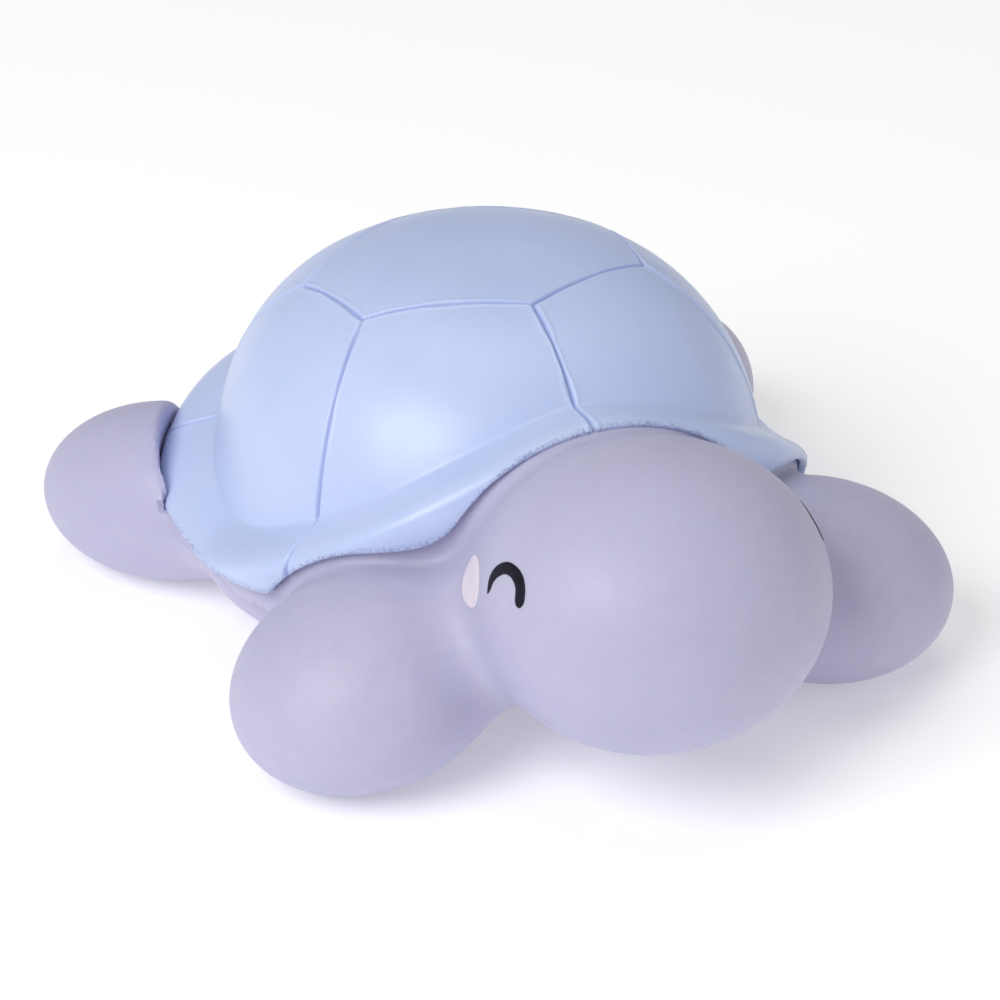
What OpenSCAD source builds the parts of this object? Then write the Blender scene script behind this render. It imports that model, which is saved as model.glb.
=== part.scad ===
// Squeaky bath toy: a hollow soft vinyl turtle with a bonded shell and a reed squeaker in its belly.
// Millimetres, +Z up. The turtle faces -Y and its own left is +X. The origin is on the floor, under
// the middle of its outline.

/* [Shell] */
// Half width of the dome at its base
dome_half_w = 40; // [34:0.5:46]
// Half length of the dome at its base
dome_half_l = 41.4; // [38:0.2:46]
// Height of the dome above its base
dome_rise = 42.9; // [38:0.1:46]
// Height of the dome's base above the floor
dome_base_z = 12.8; // [10:0.1:16]
// Roundness of the dome's plan, 2 is an ellipse and more is squarer
dome_plan_power = 2.05; // [2:0.05:2.6]
// Roundness of the dome's side view, 2 is an ellipse and more is squarer
dome_side_power = 2.7; // [2:0.05:2.8]
// Wall thickness of the shell
shell_wall = 2.2; // [1.6:0.1:3]
// Height of the crease above the rim, over the neck
crease_front_z = 46.5; // [44:0.5:50]
// Height of the crease above the rim, at the sides
crease_side_z = 22; // [20:0.5:25]
// Height of the crease above the rim, at the tail end
crease_rear_z = 31.5; // [26:0.5:34]
// How far the rim stands out past the dome over the neck
flare_front = 5.4; // [3:0.1:6]
// How far the rim stands out past the dome at the sides and the tail end
flare_side = 7; // [6:0.1:8]
// Lowest height of the rim, at the sides
hem_z = 17.5; // [15:0.5:18.5]
// Width of the moulded grooves between the scutes
groove_w = 1.6; // [1:0.1:2.4]
// Depth of the moulded grooves between the scutes
groove_d = 0.7; // [0.3:0.1:1]
// Distance of the middle scute's front corner in front of the dome's middle
scute_front = 15.7; // [12:0.1:18]
// Distance of the middle scute's rear corner behind the dome's middle
scute_rear = 26; // [22:0.2:30]
// Place of the middle scute's front side corner: sideways and in front of the dome's middle
scute_fore = [21.9, 6]; // [3:0.1:24]
// Place of the middle scute's rear side corner: sideways and behind the dome's middle
scute_aft = [24, 11.7]; // [9:0.1:27]
// Where the front side groove meets the rim, in degrees round from the nose
fore_groove_turn = 61; // [54:1:70]
// Where the rear side groove meets the rim, in degrees round from the nose
aft_groove_turn = 125; // [118:1:135]

/* [Body] */
// Wall thickness of the body casting
body_wall = 2.2; // [1.6:0.1:3]
// Half sizes of the trunk
trunk_half = [43.4, 40, 11.6]; // [8:0.1:50]
// Height of the belly above the floor
belly_z = 1.2; // [0.8:0.1:2.5]
// Half sizes of the head
head_half = [24.7, 23.7, 21.1]; // [18:0.1:28]
// Distance of the head's middle in front of the dome's middle
head_out = 55.5; // [50:0.1:60]
// Height of the head's middle above the floor
head_z = 28.5; // [26:0.1:34]
// Half sizes of the neck
neck_half = [21, 19, 16.6]; // [14:0.1:23]
// Distance of the neck's middle in front of the dome's middle
neck_out = 30; // [26:0.1:34]
// Height of the neck's middle above the floor
neck_z = 22.6; // [18:0.1:26]

/* [Flippers] */
// Half sizes of a front flipper: outwards, forwards and upwards
front_half = [20.1, 17.5, 14.1]; // [11:0.1:22]
// Place of a front flipper's middle: sideways and in front of the dome's middle
front_place = [34.6, 37.9]; // [30:0.1:42]
// How far a front flipper droops outwards, in degrees
front_droop = 11; // [0:1:18]
// How far a front flipper is swept forwards, in degrees
front_sweep = 12.5; // [5:0.5:20]
// Half sizes of a rear flipper: along it, across it and upwards
rear_half = [21, 14.3, 13.1]; // [10:0.1:23]
// Place of a rear flipper's middle: sideways and behind the dome's middle
rear_place = [40.6, 26.1]; // [20:0.1:50]
// How far a rear flipper droops outwards, in degrees
rear_droop = 11.5; // [4:0.5:16]
// How far a rear flipper is swept backwards, in degrees
rear_sweep = 57; // [48:1:64]
// Depth of the flat sole that is moulded on each flipper
sole_depth = 0.5; // [0.3:0.1:1]

/* [Face] */
// Thickness of the printed ink of an eye or a cheek
ink_t = 0.12; // [0.08:0.02:0.2]
// How far round the head from the nose an eye's middle lies, in degrees
eye_turn = 83; // [60:1:88]
// How far up the head the top of an eye lies, in degrees
eye_lift = 28; // [18:1:32]
// Half width of the closed eye's arch
eye_half_w = 3.2; // [2.4:0.1:4.2]
// Height of the arch on the side towards the nose
eye_near_h = 4; // [2.4:0.1:4.5]
// Height of the arch on the side towards the cheek
eye_far_h = 5.8; // [4:0.1:7]
// Widest stroke of the closed eye
eye_stroke = 1.5; // [1:0.1:2.2]
// How far round the head from the nose a cheek's middle lies, in degrees
cheek_turn = 109; // [104:1:114]
// How far up the head a cheek's middle lies, in degrees
cheek_lift = 6; // [-4:1:8]
// Half width of a cheek's oval
cheek_half_w = 3.4; // [1.5:0.1:3.8]
// Half height of a cheek's oval
cheek_half_h = 4.1; // [3:0.1:5]

/* [Squeaker] */
// Outer radius of the squeaker's barrel
barrel_r = 6.5; // [6:0.1:7.5]
// Wall thickness of the squeaker's barrel
barrel_wall = 1; // [0.8:0.1:1.4]
// Length of the squeaker's barrel
barrel_l = 13; // [11:0.5:16]
// Radius of the squeaker's outer flange
flange_r = 9; // [8.2:0.1:10.5]
// Thickness of the squeaker's outer flange
flange_t = 1.2; // [0.8:0.1:1.6]
// Height of the barb that holds the squeaker in the belly
barb_h = 0.7; // [0.4:0.1:1]
// Thickness of the belly round the squeaker
seat_t = 4; // [3:0.1:5]
// Radius of the thickened belly round the squeaker
seat_r = 12; // [11.2:0.1:14]
// Thickness of the reed
reed_t = 0.25; // [0.15:0.05:0.4]
// Width of the reed
reed_w = 4; // [3:0.1:5]
// Length of the reed's free tongue
reed_free_l = 6.6; // [5:0.1:7.5]
// Length of the reed's clamped root
reed_root_l = 2; // [1.5:0.1:2.5]
// Radius of a hole in the squeaker's outer grille
grille_hole_r = 0.8; // [0.5:0.05:0.9]
// Number of holes round the middle hole of the grille
grille_holes = 6; // [4:1:6]

/* [Clearances] */
// Gap between the shell's rim and the body that it is bonded to
bond_gap = 0.3; // [0.2:0.05:0.5]
// Gap between printed ink and the casting under it
ink_gap = 0.05; // [0.02:0.01:0.1]
// Gap all round a push fit in the squeaker
fit_gap = 0.05; // [0.02:0.01:0.1]
// Gap each side of the reed's root in its slot
reed_gap = 0.2; // [0.15:0.01:0.3]

/* [Hidden] */
$fn = 96;
// The dome's middle along Y, so that the nose and the tail end stand equally far from the origin.
mid_y = (head_out + head_half.y - dome_half_l - flare_side) / 2;
body_rgb = [0.75, 0.74, 0.85];
shell_rgb = [0.75, 0.81, 0.94];
ink_rgb = [0.12, 0.12, 0.2];
cheek_rgb = [0.9, 0.88, 0.92];
plastic_rgb = [0.93, 0.93, 0.9];
reed_rgb = [0.85, 0.8, 0.6];

// Points below are given from the dome's middle: x to the turtle's left, y to its tail end, z up.
// A turn is an angle round Z from the nose, towards the turtle's left.
module at_dome() {
    translate([0, mid_y, 0]) children();
}

// The dome is a superellipsoid. A lift of 90 degrees is its crown and 0 its base.
function turn_dir(turn) = [sin(turn), -cos(turn)];
function plan_r(turn) = 1 / pow(pow(abs(sin(turn)) / dome_half_w, dome_plan_power)
    + pow(abs(cos(turn)) / dome_half_l, dome_plan_power), 1 / dome_plan_power);
function share_out(lift) = pow(max(cos(lift), 0), 2 / dome_side_power);
function share_up(lift) = pow(max(sin(lift), 0), 2 / dome_side_power);
function between(v, low, high) = min(max(v, low), high);
function lift_at(z) = asin(pow(between((z - dome_base_z) / dome_rise, 0, 1), dome_side_power / 2));
function unit(v) = v / norm(v);
// Outward normal of the dome in its upright section, as [outwards, up].
function section_normal(turn, lift) = unit([pow(share_out(lift), dome_side_power - 1) / plan_r(turn),
    pow(share_up(lift), dome_side_power - 1) / dome_rise]);
// A point off the dome's surface by a distance along that normal, as [outwards, z].
function section_point(turn, lift, off) =
    [plan_r(turn) * share_out(lift), dome_base_z + dome_rise * share_up(lift)]
    + off * section_normal(turn, lift);
function in_space(turn, rz) = [rz.x * turn_dir(turn).x, rz.x * turn_dir(turn).y, rz.y];

// The body's surface under the rim as a distance: flattened balls, blended where they meet. The rear flippers
// aren't in it, because they are cut back to clear the rim.
front_tilt = [0, front_droop, -front_sweep];
rear_tilt = [0, rear_droop, rear_sweep];
front_pole_turn = -45;
neck_blend = 7;
limb_blend = 5;
// Turns a vector back by a droop about Y after a sweep about Z.
function untilt(v, tilt) = let (s = tilt.z, d = tilt.y,
    w = [v.x * cos(s) + v.y * sin(s), -v.x * sin(s) + v.y * cos(s), v.z])
    [w.x * cos(d) - w.z * sin(d), w.y, w.x * sin(d) + w.z * cos(d)];
function over(v, half) = [v.x / half.x, v.y / half.y, v.z / half.z];
tiny = 0.000001;
function ball_gap(v, half) = let (q = over(v, half), far = norm(q))
    far * (far - 1) / max(norm(over(q, half)), tiny);
function blended(a, b, reach) = min(a, b) - pow(max(reach - abs(a - b), 0), 2) / (4 * reach);
trunk_place = [0, 0, belly_z + trunk_half.z];
// The trunk runs on under the shell as a plain dome, which carries it.
core_half = [dome_half_w, dome_half_l, dome_rise] - (shell_wall + bond_gap) * [1, 1, 1];
neck_place = [0, -neck_out, neck_z];
head_place = [0, -head_out, head_z];
// A flipper's middle is as high as its droop and its sole ask for.
function sole_reach(half, droop) = norm([half.x * sin(droop), half.z * cos(droop)]) - sole_depth;
front_middle = [front_place.x, -front_place.y, sole_reach(front_half, front_droop)];
rear_middle = [rear_place.x, rear_place.y, sole_reach(rear_half, rear_droop)];
function body_gap(p) = let (m = [abs(p.x), p.y, p.z],
    trunk = ball_gap(p - trunk_place, trunk_half),
    neck = ball_gap(p - neck_place, neck_half),
    head = ball_gap(p - head_place, head_half),
    front = ball_gap(untilt(m - front_middle, front_tilt), front_half))
    blended(blended(blended(trunk, neck, neck_blend), head, neck_blend), front, limb_blend);

// The rim: from the crease the wall flares out, rolls over, tucks in on a radius and stops where it meets
// the body.
rim_roll_l = 4.2;
rim_tuck_r = 10;
hem_front_rise = 3;
crease_power = 1.6;
function front_share(turn) = pow(max(cos(turn), 0), crease_power);
function rear_share(turn) = pow(max(-cos(turn), 0), crease_power);
function crease_z(turn) = crease_side_z + (crease_front_z - crease_side_z) * front_share(turn)
    + (crease_rear_z - crease_side_z) * rear_share(turn);
function flare(turn) = flare_side + (flare_front - flare_side) * front_share(turn);
function hem(turn) = hem_z + hem_front_rise * max(cos(turn), 0);
function smooth(u) = let (t = between(u, 0, 1)) t * t * (3 - 2 * t);
// Distance of the outer surface from the dome at a lift below the crease.
function rim_off(turn, lift) = let (low = lift_at(crease_z(turn)),
    run = norm(section_point(turn, lift, 0) - section_point(turn, low, 0)))
    lift >= low ? 0
        : flare(turn) * smooth(run / rim_roll_l) - pow(max(run - rim_roll_l, 0), 2) / (2 * rim_tuck_r);
function outer_point(turn, lift) = in_space(turn, section_point(turn, lift, rim_off(turn, lift)));
// Lift of the rim's edge, by halving: the lowest one at which the wall still clears the body and the hem.
function clears(turn, lift) = let (p = outer_point(turn, lift))
    p.z > hem(turn) && body_gap(p) > shell_wall + bond_gap;
function edge_lift(turn, low, high, left) = left == 0 ? high : let (half = (low + high) / 2)
    clears(turn, half) ? edge_lift(turn, low, half, left - 1) : edge_lift(turn, half, high, left - 1);

// The shell's skin is a net of columns that run from the middle scute's centre over its edge and down to
// the rim. A groove lies along the scute's edge and along one column from each of its six corners.
scute_corners = [[0, -scute_front], [scute_fore.x, -scute_fore.y], scute_aft,
    [0, scute_rear], [-scute_aft.x, scute_aft.y], [-scute_fore.x, -scute_fore.y]];
scute_middle = [0, (scute_rear - scute_front) / 2];
rim_turns = [0, fore_groove_turn, aft_groove_turn, 180, 360 - aft_groove_turn, 360 - fore_groove_turn, 360];
columns_between = [20, 14, 10, 10, 14, 20];
most_groove_share = 0.3;
columns = [for (s = [0 : 5], k = [0 : columns_between[s] - 1]) [s, k]];
// A row is a zone and a share across it: 0 inside the scute, 1 from its edge to the crease, 2 down the rim.
// The shares named groove_side lie half a groove's width from the scute's edge.
groove_side = -1;
outer_rows = [[0, 0.4], [0, 0.75], [0, groove_side], [0, 1], [1, groove_side], [1, 0.2], [1, 0.38], [1, 0.55],
    [1, 0.7], [1, 0.85], [1, 1], [2, 0.14], [2, 0.28], [2, 0.42], [2, 0.56], [2, 0.7], [2, 0.85], [2, 1]];
inner_rows = [[0, 0.5], [0, 1], [1, 0.25], [1, 0.5], [1, 0.75], [1, 1], [2, 0.3], [2, 0.6], [2, 1]];
function mix(a, b, t) = a + (b - a) * t;
// The point over a plan point, off the dome's surface by a distance along its normal.
function dome_point(v, off) = let (
    x_share = abs(v.x) / dome_half_w,
    y_share = abs(v.y) / dome_half_l,
    plan = max(pow(x_share, dome_plan_power) + pow(y_share, dome_plan_power), tiny),
    up = pow(max(1 - pow(plan, dome_side_power / dome_plan_power), 0), 1 / dome_side_power),
    steep = pow(plan, dome_side_power / dome_plan_power - 1),
    slope = [steep * pow(x_share, dome_plan_power - 1) * sign(v.x) / dome_half_w,
        steep * pow(y_share, dome_plan_power - 1) * sign(v.y) / dome_half_l,
        pow(up, dome_side_power - 1) / dome_rise])
    [v.x, v.y, dome_base_z + dome_rise * up] + off * unit(slope);
function crease_plan(turn) = let (p = outer_point(turn, lift_at(crease_z(turn)))) [p.x, p.y];
// Share of the way from one groove to the next: the columns beside a groove keep to its width.
function column_share(k, count, span) = let (edge = min(groove_w / 2 / span, most_groove_share))
    k == 0 ? 0 : edge + (1 - 2 * edge) * (k - 1) / (count - 2);
function corner(s) = scute_corners[s % 6];
function net_turn(col) = let (a = rim_turns[col[0]], b = rim_turns[col[0] + 1],
    span = norm(crease_plan(b) - crease_plan(a)))
    mix(a, b, column_share(col[1], columns_between[col[0]], span));
function net_ring(col) = let (a = corner(col[0]), b = corner(col[0] + 1))
    mix(a, b, column_share(col[1], columns_between[col[0]], norm(b - a)));
turns = [for (c = columns) net_turn(c)];
rings = [for (c = columns) net_ring(c)];
creases = [for (t = turns) crease_plan(t)];
crease_lifts = [for (t = turns) lift_at(crease_z(t))];
halvings = 14;
edge_lifts = [for (j = [0 : len(turns) - 1]) edge_lift(turns[j], lift_at(hem_z), crease_lifts[j], halvings)];
function ring_share(j, share) = share == groove_side
    ? 1 - groove_w / 2 / norm(rings[j] - scute_middle) : share;
function slope_share(j, share) = share == groove_side ? groove_w / 2 / norm(creases[j] - rings[j]) : share;
function net_point(j, row, off) =
    row[0] == 0 ? dome_point(mix(scute_middle, rings[j], ring_share(j, row[1])), off)
    : row[0] == 1 ? dome_point(mix(rings[j], creases[j], slope_share(j, row[1])), off)
    : let (lift = mix(crease_lifts[j], edge_lifts[j], row[1]))
        in_space(turns[j], section_point(turns[j], lift, rim_off(turns[j], lift) + off));
function in_groove(j, row) = (row[0] == 0 && row[1] == 1) || (row[0] > 0 && columns[j][1] == 0);
function strip(a, b, n) = [for (j = [0 : n - 1]) let (k = (j + 1) % n)
    each [[a + j, a + k, b + j], [a + k, b + k, b + j]]];
function turned(faces) = [for (f = faces) [f[2], f[1], f[0]]];
module shell_skin() {
    n = len(columns);
    outer = [for (row = outer_rows, j = [0 : n - 1]) net_point(j, row, in_groove(j, row) ? -groove_d : 0)];
    inner = [for (row = inner_rows, j = [0 : n - 1]) net_point(j, row, -shell_wall)];
    crown = [dome_point(scute_middle, 0), dome_point(scute_middle, -shell_wall)];
    first_inner = len(outer);
    top = first_inner + len(inner);
    last_outer = first_inner - n;
    last_inner = top - n;
    faces = concat(
        [for (j = [0 : n - 1]) [top, (j + 1) % n, j]],
        [for (r = [0 : len(outer_rows) - 2]) each strip(r * n, (r + 1) * n, n)],
        [for (j = [0 : n - 1]) [top + 1, first_inner + j, first_inner + (j + 1) % n]],
        [for (r = [0 : len(inner_rows) - 2])
            let (row = first_inner + r * n) each turned(strip(row, row + n, n))],
        strip(last_outer, last_inner, n));
    polyhedron(concat(outer, inner, crown), faces);
}

module shell_casting() {
    color(shell_rgb) at_dome() shell_skin();
}

// The squeaker stands upright in a low boss of the belly, in line with the dome's middle.
seat_proud = 0.3;
seat_z = belly_z - seat_proud;
flange_recess = 0.4;
grille_recess = 0.3;
grille_t = 1.2;
grille_ring_share = 0.58;
barb_l = 1.6;
barb_tip = 0.2;
// The air slot that the reed closes, and the room that its tongue has to swing.
air_w = 2.6;
air_d = 2.5;
tongue_relief = 0.25;
seat_over_reed = 0.6;
air_under_tip = 1.2;
flange_z = seat_z + flange_recess;
barrel_z = flange_z + flange_t;
seat_top = seat_z + seat_t;
bore_r = barrel_r - barrel_wall;
plug_r = bore_r - fit_gap;
grille_ring_r = plug_r * grille_ring_share;
grille_z = flange_z + grille_recess;
plug_z = grille_z + grille_t + fit_gap;
root_z = plug_z + reed_gap;
hinge_z = root_z + reed_root_l;
tongue_top = hinge_z + reed_free_l;
slot_half = reed_t / 2 + reed_gap;
air_top = tongue_top - air_under_tip;

module ball(middle, half, inset) {
    translate(middle) scale(half - [inset, inset, inset]) sphere(1);
}
// The neck's poles lie inside the head and the trunk.
module neck_ball(inset) {
    translate(neck_place) scale(neck_half - [inset, inset, inset]) rotate([90, 0, 0]) sphere(1);
}
// A flipper's poles point level, away from its sole and the rim, and one of them into the trunk.
module flipper(middle, half, tilt, pole_turn, inset) {
    translate(middle) rotate(tilt) scale(half - [inset, inset, inset]) rotate([0, 90, pole_turn]) sphere(1);
}
// All the space under a height, which cuts the soles flat at the floor.
module all_under(z) {
    reach = 2 * (dome_half_l + head_out);
    translate([-reach / 2, -reach / 2, z - reach]) cube(reach);
}
// A rear flipper is cut back round the rim, which sinks into it.
rebate_turns = [80 : 5 : 160];
module rim_rebate(grow) {
    rim = [for (turn = rebate_turns) (plan_r(turn) + flare(turn) + bond_gap + grow) * turn_dir(turn)];
    translate([0, 0, hem_z - bond_gap - grow])
        linear_extrude(height = dome_rise) polygon(concat([[0, 0]], rim));
}
// The outside of the casting, or with an inset its inside.
module body_balls(inset) {
    ball(trunk_place, trunk_half, inset);
    difference() {
        ball([0, 0, dome_base_z], core_half, inset);
        all_under(dome_base_z);
    }
    neck_ball(inset);
    ball(head_place, head_half, inset);
    for (side = [0, 1])
        mirror([side, 0, 0]) {
            flipper(front_middle, front_half, front_tilt, front_pole_turn, inset);
            difference() {
                flipper(rear_middle, rear_half, rear_tilt, 0, inset);
                rim_rebate(inset);
            }
        }
}
module seat_block() {
    translate([0, 0, seat_z]) cylinder(r = seat_r, h = seat_t);
}
module body_casting() {
    color(body_rgb) at_dome() difference() {
        union() {
            body_balls(0);
            seat_block();
        }
        difference() {
            body_balls(body_wall);
            seat_block();
        }
        cylinder(r = barrel_r + fit_gap, h = seat_top + 1);
        cylinder(r = flange_r + fit_gap, h = barrel_z);
        all_under(0);
    }
}

// A point over the head's skin, from a turn and a lift round the head's middle and a height off the skin.
function head_point(turn, lift, off) = let (
    out = [sin(turn) * cos(lift), -cos(turn) * cos(lift), sin(lift)],
    skin = [out.x * head_half.x, out.y * head_half.y, out.z * head_half.z])
    head_place + skin + off * unit(over(out, head_half));
// The same from a flat place beside that point: millimetres towards the cheek and upwards.
function face_point(turn, lift, flat, off) = let (
    turn_per_mm = 180 / PI / (cos(lift) * norm([head_half.x * cos(turn), head_half.y * sin(turn)])),
    level = norm([head_half.x * sin(turn), head_half.y * cos(turn)]),
    lift_per_mm = 180 / PI / norm([level * sin(lift), head_half.z * cos(lift)]))
    head_point(turn + flat.x * turn_per_mm, lift + flat.y * lift_per_mm, off);
// A sheet of ink over the skin, from rows of flat places.
module ink_sheet(turn, lift, rows) {
    m = len(rows);
    n = len(rows[0]);
    under = m * n;
    points = [for (off = [ink_gap + ink_t, ink_gap], row = rows, flat = row)
        face_point(turn, lift, flat, off)];
    top = [for (i = [0 : m - 2], j = [0 : n - 2]) let (a = i * n + j)
        each [[a, a + 1, a + n], [a + 1, a + n + 1, a + n]]];
    bottom = [for (f = turned(top)) [f[0] + under, f[1] + under, f[2] + under]];
    border = concat([for (j = [0 : n - 2]) j], [for (i = [0 : m - 2]) i * n + n - 1],
        [for (j = [n - 1 : -1 : 1]) (m - 1) * n + j], [for (i = [m - 1 : -1 : 1]) i * n]);
    sides = [for (k = [0 : len(border) - 1]) let (a = border[k], b = border[(k + 1) % len(border)])
        each [[b, a, a + under], [b + under, b, a + under]]];
    polyhedron(points, concat(top, bottom, sides));
}
// The closed eye is an arch that thins out towards the cheek.
eye_steps = 24;
eye_squareness = 0.6;
eye_tip_share = 0.15;
eye_thin_end = 110;
function arch_h(f) = f < 90 ? eye_far_h : eye_near_h;
function arch_point(f) = [eye_half_w * cos(f), -arch_h(f) * (1 - pow(sin(f), eye_squareness))];
function arch_stroke(f) = eye_stroke / 2 * (eye_tip_share + (1 - eye_tip_share) * smooth(f / eye_thin_end));
eye_rows = [for (i = [0 : eye_steps]) let (f = 180 * i / eye_steps,
    along = unit(arch_point(min(f + 1, 180)) - arch_point(max(f - 1, 0))),
    across = [-along.y, along.x])
    [for (k = [-1, 0, 1]) arch_point(f) + k * arch_stroke(f) * across]];
// The cheek is an oval: a square net drawn in to a round one.
cheek_steps = 8;
cheek_rows = [for (i = [0 : cheek_steps]) [for (j = [0 : cheek_steps])
    let (u = 2 * i / cheek_steps - 1, v = 2 * j / cheek_steps - 1)
    [cheek_half_w * u * sqrt(1 - v * v / 2), cheek_half_h * v * sqrt(1 - u * u / 2)]]];
module eye(side) {
    color(ink_rgb) at_dome() mirror([side, 0, 0]) ink_sheet(eye_turn, eye_lift, eye_rows);
}
module cheek(side) {
    color(cheek_rgb) at_dome() mirror([side, 0, 0]) ink_sheet(cheek_turn, cheek_lift, cheek_rows);
}
module eye_left() {
    eye(0);
}
module eye_right() {
    eye(1);
}
module cheek_left() {
    cheek(0);
}
module cheek_right() {
    cheek(1);
}

// The barrel is open from end to end, with a flange outside the belly and a barb inside it.
module squeaker_barrel() {
    color(plastic_rgb) at_dome() rotate_extrude() polygon([
        [bore_r, flange_z], [flange_r, flange_z], [flange_r, barrel_z], [barrel_r, barrel_z],
        [barrel_r, seat_top + fit_gap], [barrel_r + barb_h, seat_top + fit_gap],
        [barrel_r + barb_h, seat_top + fit_gap + barb_tip], [barrel_r, seat_top + fit_gap + barb_l],
        [barrel_r, barrel_z + barrel_l], [bore_r, barrel_z + barrel_l]]);
}
module squeaker_grille() {
    color(plastic_rgb) at_dome() translate([0, 0, grille_z]) difference() {
        cylinder(r = plug_r, h = grille_t);
        translate([0, 0, -1]) cylinder(r = grille_hole_r, h = grille_t + 2, $fn = 32);
        for (i = [0 : grille_holes - 1])
            rotate([0, 0, i * 360 / grille_holes]) translate([grille_ring_r, 0, -1])
                cylinder(r = grille_hole_r, h = grille_t + 2, $fn = 32);
    }
}
// The part of a plug that lies behind a flat face, from one height to another.
module half_plug(face, low, high) {
    intersection() {
        translate([0, 0, low]) cylinder(r = plug_r, h = high - low);
        translate([-plug_r, face, low]) cube([2 * plug_r, 2 * plug_r, high - low]);
    }
}
module reed_seat() {
    color(plastic_rgb) at_dome() difference() {
        union() {
            half_plug(slot_half, plug_z, hinge_z);
            half_plug(slot_half + tongue_relief, hinge_z, tongue_top + seat_over_reed);
        }
        translate([-air_w / 2, 0, plug_z - 1]) cube([air_w, slot_half + air_d, air_top - plug_z + 1]);
    }
}
module reed_wedge() {
    color(plastic_rgb) at_dome() mirror([0, 1, 0]) half_plug(slot_half, plug_z, hinge_z);
}
module reed() {
    color(reed_rgb) at_dome()
        translate([-reed_w / 2, -reed_t / 2, root_z]) cube([reed_w, reed_t, tongue_top - root_z]);
}

body_casting();
shell_casting();
eye_left();
eye_right();
cheek_left();
cheek_right();
squeaker_barrel();
squeaker_grille();
reed_seat();
reed_wedge();
reed();
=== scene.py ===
# Squeaky bath toy: a lilac vinyl turtle with a pale blue shell, a printed face and a reed squeaker.
# Forms are worked out in millimetres from the dome's middle (x to the turtle's left, y to its tail end)
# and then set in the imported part's frame, in metres. A turn is an angle round Z from the nose.
import math
import bpy
import numpy as np
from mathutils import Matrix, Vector
from mathutils.kdtree import KDTree


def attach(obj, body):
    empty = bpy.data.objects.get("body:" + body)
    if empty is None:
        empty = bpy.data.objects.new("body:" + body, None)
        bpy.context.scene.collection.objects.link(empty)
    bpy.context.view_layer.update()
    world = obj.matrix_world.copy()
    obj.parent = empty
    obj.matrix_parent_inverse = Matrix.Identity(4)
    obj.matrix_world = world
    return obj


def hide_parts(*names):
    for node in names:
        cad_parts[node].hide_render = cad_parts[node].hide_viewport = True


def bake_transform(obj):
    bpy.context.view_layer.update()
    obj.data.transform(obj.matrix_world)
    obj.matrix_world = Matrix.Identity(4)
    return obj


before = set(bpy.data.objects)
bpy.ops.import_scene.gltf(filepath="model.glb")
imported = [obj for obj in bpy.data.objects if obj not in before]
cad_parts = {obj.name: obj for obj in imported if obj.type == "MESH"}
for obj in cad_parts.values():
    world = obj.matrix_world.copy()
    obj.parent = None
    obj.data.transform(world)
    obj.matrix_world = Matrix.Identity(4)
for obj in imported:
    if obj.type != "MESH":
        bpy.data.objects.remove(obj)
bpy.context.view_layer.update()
MM = 0.001
MID_Y = 15.4

# Camera at the photo's angle
camera_data = bpy.data.cameras.new("camera")
camera_data.sensor_width = 36
camera_data.lens = 162
camera = bpy.data.objects.new("camera", camera_data)
bpy.context.scene.collection.objects.link(camera)
bpy.context.scene.camera = camera
eye_at = Vector((-0.23259, -0.51751, 0.33154))
look_at = Vector((0.0154, 0.04619, -0.00328))
camera.location = eye_at
camera.rotation_euler = (look_at - eye_at).to_track_quat("-Z", "Y").to_euler()

# ---- Sizes of the forms, near those of the part: millimetres, and degrees for tilts ----
# The dome: half sizes and powers of its plan and its upright section
HALF_W, HALF_L, RISE, BASE_Z = 40.0, 41.4, 42.9, 12.8
PLAN_POWER, SIDE_POWER = 2.05, 2.7
SHELL_WALL = 2.2
# The crease where the rim leaves the dome, how far the rim stands off, and where its edge may end
CREASE_FRONT_Z, CREASE_SIDE_Z, CREASE_REAR_Z, CREASE_POWER = 46.5, 22.0, 31.5, 1.6
FLARE_FRONT, FLARE_SIDE, FLARE_MORE = 5.4, 6.75, 1.5
MORE_FROM, MORE_GROWS, MORE_UNTIL, MORE_FADES = 95, 25, 138, 30
HEM_Z, HEM_FRONT_RISE = 17.5, 3.0
RIM_ROLL_L, RIM_TUCK_L, RIM_TUCK_R = 6.4, 4.8, 10.0
EDGE_WALL, EDGE_ROUND = 0.9, 0.3
NECK_CLEAR, FLIPPER_CLEAR, CLEAR_SPAN = 1.3, 2.5, 0.33
# The body's flattened balls: half sizes, middles and tilts
TRUNK_HALF = np.array([43.4, 40, 11.6])
TRUNK_AT = np.array([0, 0, 12.8])
NECK_HALF = np.array([21, 19, 16.6])
NECK_AT = np.array([0, -30, 22.6])
HEAD_HALF = np.array([24.7, 23.7, 21.1])
HEAD_AT = np.array([0, -55.5, 28.5])
FRONT_HALF = np.array([20.1, 17.5, 14.1])
FRONT_TILT = (11, -12.5)
REAR_HALF = np.array([21, 14.3, 13.1])
REAR_TILT = (11.5, 57)
SOLE_DEPTH = 0.5
NECK_BLEND, LIMB_BLEND = 12.0, 7.0
# The rear flippers' cut round the rim: its clearance, its rounding and the lean of its wall
RIM_CLEAR = 0.3
CUT_ROUND, CUT_ROUND_LOW, CUT_ROUND_RISE, CUT_LEAN = 1.8, 0.3, 4, 0.1
# Their fillet with the trunk fades out over this height, up to just under the hem
SEAM_BLEND, SEAM_BELOW, SEAM_RISE = 0.4, 5.5, 5
# The body under the rim, which fills it up to its edge. A turn here is in radians.
BED_INSET, BED_INSET_LOW, BED_INSET_RISE = 2.8, 1.25, 1.5
BED_TOP, BED_TOP_SIDE, BED_LOW, BED_WIDTH, BED_BLEND = 2.0, 8.0, 3.5, 7.0, 3.0
BED_TOP_FROM = BED_TOP_GROWS = math.radians(25)
BED_LOW_FROM, BED_LOW_FADES = math.radians(72), math.radians(20)


def sole_reach(half, droop):
    d = math.radians(droop)
    return math.hypot(half[0] * math.sin(d), half[2] * math.cos(d)) - SOLE_DEPTH


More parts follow.
